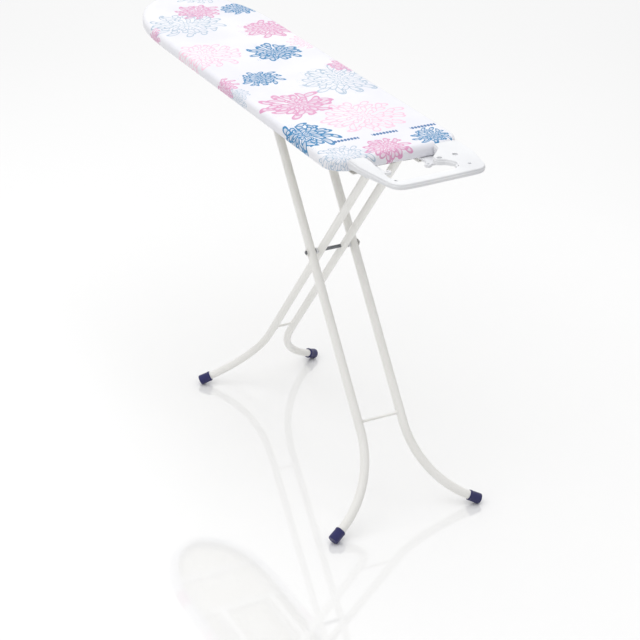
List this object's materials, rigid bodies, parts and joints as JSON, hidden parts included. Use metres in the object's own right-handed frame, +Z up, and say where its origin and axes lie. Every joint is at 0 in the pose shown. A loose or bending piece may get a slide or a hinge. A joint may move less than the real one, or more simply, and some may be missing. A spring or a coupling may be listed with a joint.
{
  "type": "ironing board",
  "caption": "Folding ironing board with a padded printed cover, scissor legs with splayed capped feet, a height catch and an iron rest at the heel.",
  "frame": {"origin": "on the floor, under the middle of the whole length from the nose to the iron rest's front edge", "axes": "+X along the board from the nose to the heel with the iron rest, +Y across the board, +Z up"},
  "size_m": [1.368, 0.3768, 0.842],
  "materials": {
    "printed_cotton": "woven cotton with a printed flower pattern",
    "foam": "thin foam padding",
    "elastic": "elastic cord",
    "white_enamel": "satin white powder coat",
    "light_grey_plastic": "fine moulded texture",
    "navy_plastic": "satin moulded",
    "black_nylon": "satin",
    "dark_steel": "dark plated",
    "zinc_plated_steel": "zinc plated"
  },
  "bodies": {
    "board": {"fabric_cover": "printed_cotton", "foam_pad": "foam", "hem_elastic": "elastic", "mesh_panel": "white_enamel", "rim_channel": "white_enamel", "nose_brace": "white_enamel", "middle_brace": "white_enamel", "rail_near": "white_enamel", "rail_far": "white_enamel", "hinge_rod": "zinc_plated_steel", "hinge_spacer_near": "black_nylon", "hinge_spacer_middle": "black_nylon", "hinge_spacer_far": "black_nylon", "hinge_clip_near": "zinc_plated_steel", "hinge_clip_far": "zinc_plated_steel", "iron_rest": "light_grey_plastic", "rest_screw_1": "zinc_plated_steel", "rest_screw_2": "zinc_plated_steel", "rest_screw_3": "zinc_plated_steel", "rest_screw_4": "zinc_plated_steel", "lever_spring": "zinc_plated_steel"},
    "release_lever": {"lever_rod": "zinc_plated_steel", "lever_grip": "navy_plastic", "lever_clip": "zinc_plated_steel", "catch_plate": "zinc_plated_steel"},
    "inner_legs": {"inner_tube_near": "white_enamel", "inner_tube_far": "white_enamel", "inner_crossbar": "white_enamel", "inner_foot_near": "navy_plastic", "inner_foot_far": "navy_plastic", "pivot_axle": "dark_steel", "pivot_spacer_near": "light_grey_plastic", "pivot_spacer_far": "light_grey_plastic", "pivot_washer_near": "white_enamel", "pivot_washer_far": "white_enamel"},
    "outer_legs": {"outer_tube_near": "white_enamel", "outer_tube_far": "white_enamel", "outer_crossbar": "white_enamel", "outer_foot_near": "navy_plastic", "outer_foot_far": "navy_plastic", "slider_rod": "zinc_plated_steel", "slider_runner_near": "black_nylon", "slider_runner_far": "black_nylon"}
  },
  "joints": [
    {"name": "leg_fold", "type": "hinge", "parent": "board", "child": "inner_legs", "pos_m": [0.467, 0, 0.8], "axis": [0, 1, 0], "range_deg": [0, 47.5]},
    {"name": "scissor", "type": "hinge", "parent": "inner_legs", "child": "outer_legs", "pos_m": [0.228, 0, 0.5094], "axis": [0, 1, 0], "range_deg": [-98.5, 0]},
    {"name": "release", "type": "hinge", "parent": "board", "child": "release_lever", "pos_m": [0.046, 0, 0.8136], "axis": [0, 1, 0], "range_deg": [0, 6], "stiffness_Nm_per_rad": 0.3, "springref_deg": -22.92}
  ],
  "couplings": [
    {"joint": "scissor", "follows": "leg_fold", "ratio": -2.067}
  ]
}
